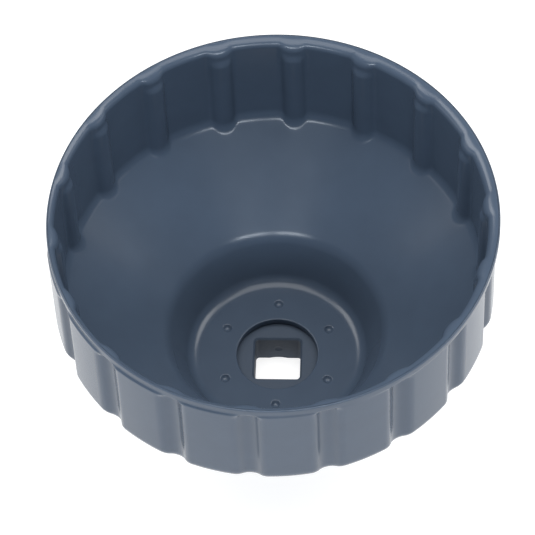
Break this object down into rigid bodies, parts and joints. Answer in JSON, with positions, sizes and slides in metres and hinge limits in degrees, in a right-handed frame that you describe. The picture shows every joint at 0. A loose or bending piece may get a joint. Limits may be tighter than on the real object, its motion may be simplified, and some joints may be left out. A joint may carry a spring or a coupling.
{
  "type": "oil filter wrench",
  "caption": "Cap-type oil filter wrench: a pressed steel cup with a fluted inside wall and a deep well, welded to a hexagonal hub with a square drive socket.",
  "frame": {"origin": "on the axis, on the flat lower face of the drive hub", "axes": "+Z along the axis from the hub to the open mouth; X and Y square to the flats of the drive square"},
  "size_m": [0.12, 0.12, 0.0804],
  "materials": {
    "painted_cup": "satin blue-grey powder coat on pressed steel",
    "painted_hub": "the same blue-grey coat, thinner and rougher inside the drive square",
    "weld_steel": "bare weld metal between cup and hub"
  },
  "bodies": {
    "root": {"fluted_cup": "painted_cup", "drive_hub": "painted_hub", "weld_nuggets": "weld_steel"}
  },
  "joints": []
}
